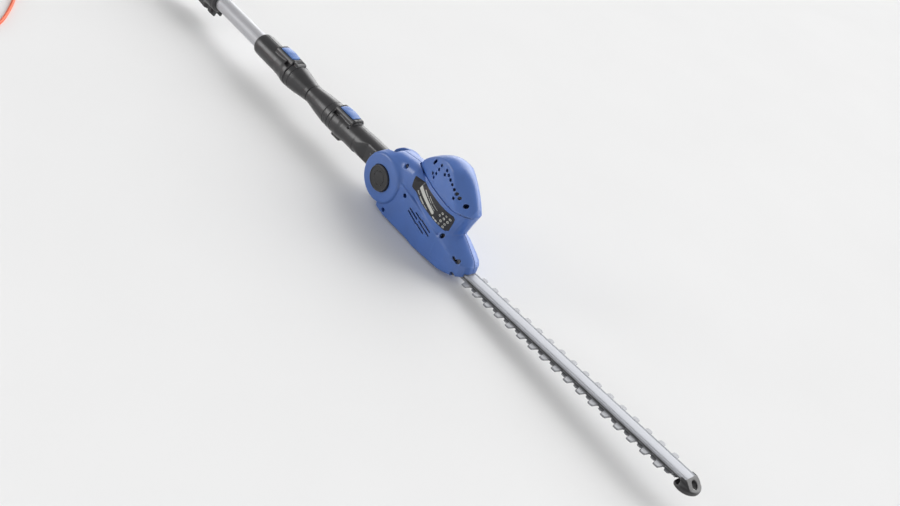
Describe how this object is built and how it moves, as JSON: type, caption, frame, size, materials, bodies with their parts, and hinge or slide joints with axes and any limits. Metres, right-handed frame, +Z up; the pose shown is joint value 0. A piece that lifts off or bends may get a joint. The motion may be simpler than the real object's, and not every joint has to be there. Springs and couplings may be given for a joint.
{
  "type": "pole hedge trimmer",
  "caption": "Corded pole hedge trimmer: a tilting motor head with a double-sided toothed blade on a telescopic pole with latch couplings and a trigger handle.",
  "frame": {"origin": "on the floor below the middle of the trimmer, lead left out", "axes": "+X along the pole towards the blade tip, +Y to the side away from the lock button, +Z up towards the motor"},
  "size_m": [2.1555, 0.5876, 0.1624],
  "materials": {
    "housing_blue": "moulded, satin sheen",
    "button_blue": "moulded, satin sheen",
    "coupling_black": "glass-filled nylon, satin",
    "disc_black": "fine texture",
    "label_black": "printed film",
    "pole_aluminium": "anodised",
    "bar_aluminium": "brushed along the bar",
    "blade_steel": "ground, lightly oiled",
    "fastener_steel": "black zinc",
    "machined_steel": "machined",
    "cast_aluminium": "die cast",
    "bearing_bronze": "sintered",
    "winding_copper": "enamelled copper",
    "grip_foam": "closed-cell foam",
    "handle_black": "moulded, fine texture",
    "cord_orange": "PVC sheath",
    "plug_black": "moulded",
    "nylon_white": "acetal"
  },
  "bodies": {
    "pole_rear": {"handle_shell_left": "handle_black", "handle_shell_right": "handle_black", "handle_screws": "fastener_steel", "power_switch": "handle_black", "trigger_spring": "machined_steel", "lock_off_spring": "machined_steel", "upper_tube": "pole_aluminium", "lock_collar": "coupling_black", "front_grip": "grip_foam", "strap_eyelet": "coupling_black", "telescope_lead": "cord_orange", "cable_sleeve": "handle_black", "cord_lead": "cord_orange", "cord_coil": "cord_orange", "cord_tail": "cord_orange", "plug": "plug_black"},
    "trigger": {"trigger": "button_blue"},
    "lock_off_button": {"lock_off_button": "button_blue"},
    "lock_lever": {"lock_lever": "coupling_black"},
    "pole_front": {"lower_tube": "pole_aluminium", "tube_guide": "nylon_white", "upper_socket_left": "coupling_black", "upper_socket_right": "coupling_black", "adapter_front_cup": "coupling_black", "adapter_rear_cup": "coupling_black", "adapter_socket_core": "coupling_black", "pin_connectors": "nylon_white", "latch_pins": "machined_steel", "upper_latch_spring": "machined_steel", "lower_latch_spring": "machined_steel", "arm_shell_left": "coupling_black", "arm_shell_right": "coupling_black", "arm_screws": "fastener_steel", "arm_detent_ring": "machined_steel"},
    "upper_latch": {"upper_latch_button": "button_blue"},
    "lower_latch": {"lower_latch_button": "button_blue"},
    "head": {"head_shell_left": "housing_blue", "head_shell_right": "housing_blue", "head_screws": "fastener_steel", "motor_cap": "housing_blue", "rating_label": "label_black", "pivot_bolt": "machined_steel", "head_detent_ring": "machined_steel", "tilt_lock_spring": "machined_steel", "pivot_cap": "disc_black", "motor_can": "machined_steel", "bearings": "bearing_bronze", "gear_housing": "cast_aluminium", "cover_bar": "bar_aluminium", "blade_bolts": "fastener_steel", "tip_protector": "coupling_black"},
    "tilt_button": {"tilt_lock_button": "disc_black"},
    "rotor": {"motor_shaft": "machined_steel", "armature": "winding_copper", "cooling_fan": "nylon_white", "pinion": "machined_steel"},
    "crank": {"crank_gear": "machined_steel", "crank_shaft": "machined_steel"},
    "upper_blade": {"upper_blade": "blade_steel"},
    "lower_blade": {"lower_blade": "blade_steel"}
  },
  "joints": [
    {"name": "telescope", "type": "slide", "parent": "pole_rear", "child": "pole_front", "axis": [1, 0, 0], "range_m": [0, 0.35]},
    {"name": "head_tilt", "type": "hinge", "parent": "pole_front", "child": "head", "pos_m": [0.32, 0, 0.054], "axis": [0, 1, 0], "range_deg": [-41.8, 78.2]},
    {"name": "tilt_lock_press", "type": "slide", "parent": "head", "child": "tilt_button", "axis": [0, 1, 0], "range_m": [0, 0.004], "stiffness_N_per_m": 900, "springref_m": -0.003, "deforming": ["tilt_lock_spring"]},
    {"name": "rotor_spin", "type": "hinge", "parent": "head", "child": "rotor", "pos_m": [0.45778, 0, 0.0617], "axis": [-0.0558, 0, 0.9984], "continuous": true},
    {"name": "crank_spin", "type": "hinge", "parent": "head", "child": "crank", "pos_m": [0.43083, 0, 0.0602], "axis": [-0.0558, 0, 0.9984], "continuous": true},
    {"name": "upper_blade_slide", "type": "slide", "parent": "head", "child": "upper_blade", "axis": [0.9984, 0, 0.0558], "range_m": [-0.006, 0.006]},
    {"name": "lower_blade_slide", "type": "slide", "parent": "head", "child": "lower_blade", "axis": [0.9984, 0, 0.0558], "range_m": [-0.006, 0.006]},
    {"name": "upper_latch_press", "type": "hinge", "parent": "pole_front", "child": "upper_latch", "pos_m": [-0.002, 0, 0.0778], "axis": [0, -1, 0], "range_deg": [0, 6], "stiffness_Nm_per_rad": 1.2, "springref_deg": -5.73, "deforming": ["upper_latch_spring"]},
    {"name": "lower_latch_press", "type": "hinge", "parent": "pole_front", "child": "lower_latch", "pos_m": [0.179, 0, 0.0778], "axis": [0, 1, 0], "range_deg": [0, 6], "stiffness_Nm_per_rad": 1.2, "springref_deg": -5.73, "deforming": ["lower_latch_spring"]},
    {"name": "lock_lever_open", "type": "hinge", "parent": "pole_rear", "child": "lock_lever", "pos_m": [-0.237, 0, 0.0284], "axis": [0, -1, 0], "range_deg": [0, 100]},
    {"name": "trigger_press", "type": "hinge", "parent": "pole_rear", "child": "trigger", "pos_m": [-0.7995, 0, 0.0435], "axis": [0, 1, 0], "range_deg": [0, 8], "stiffness_Nm_per_rad": 1, "springref_deg": -8.59, "deforming": ["trigger_spring"]},
    {"name": "lock_off_press", "type": "slide", "parent": "pole_rear", "child": "lock_off_button", "axis": [0, 0, -1], "range_m": [0, 0.004], "stiffness_N_per_m": 400, "springref_m": -0.003, "deforming": ["lock_off_spring"]}
  ],
  "couplings": [
    {"joint": "crank_spin", "follows": "rotor_spin", "ratio": -0.25},
    {"joint": "lower_blade_slide", "follows": "upper_blade_slide", "ratio": -1}
  ]
}
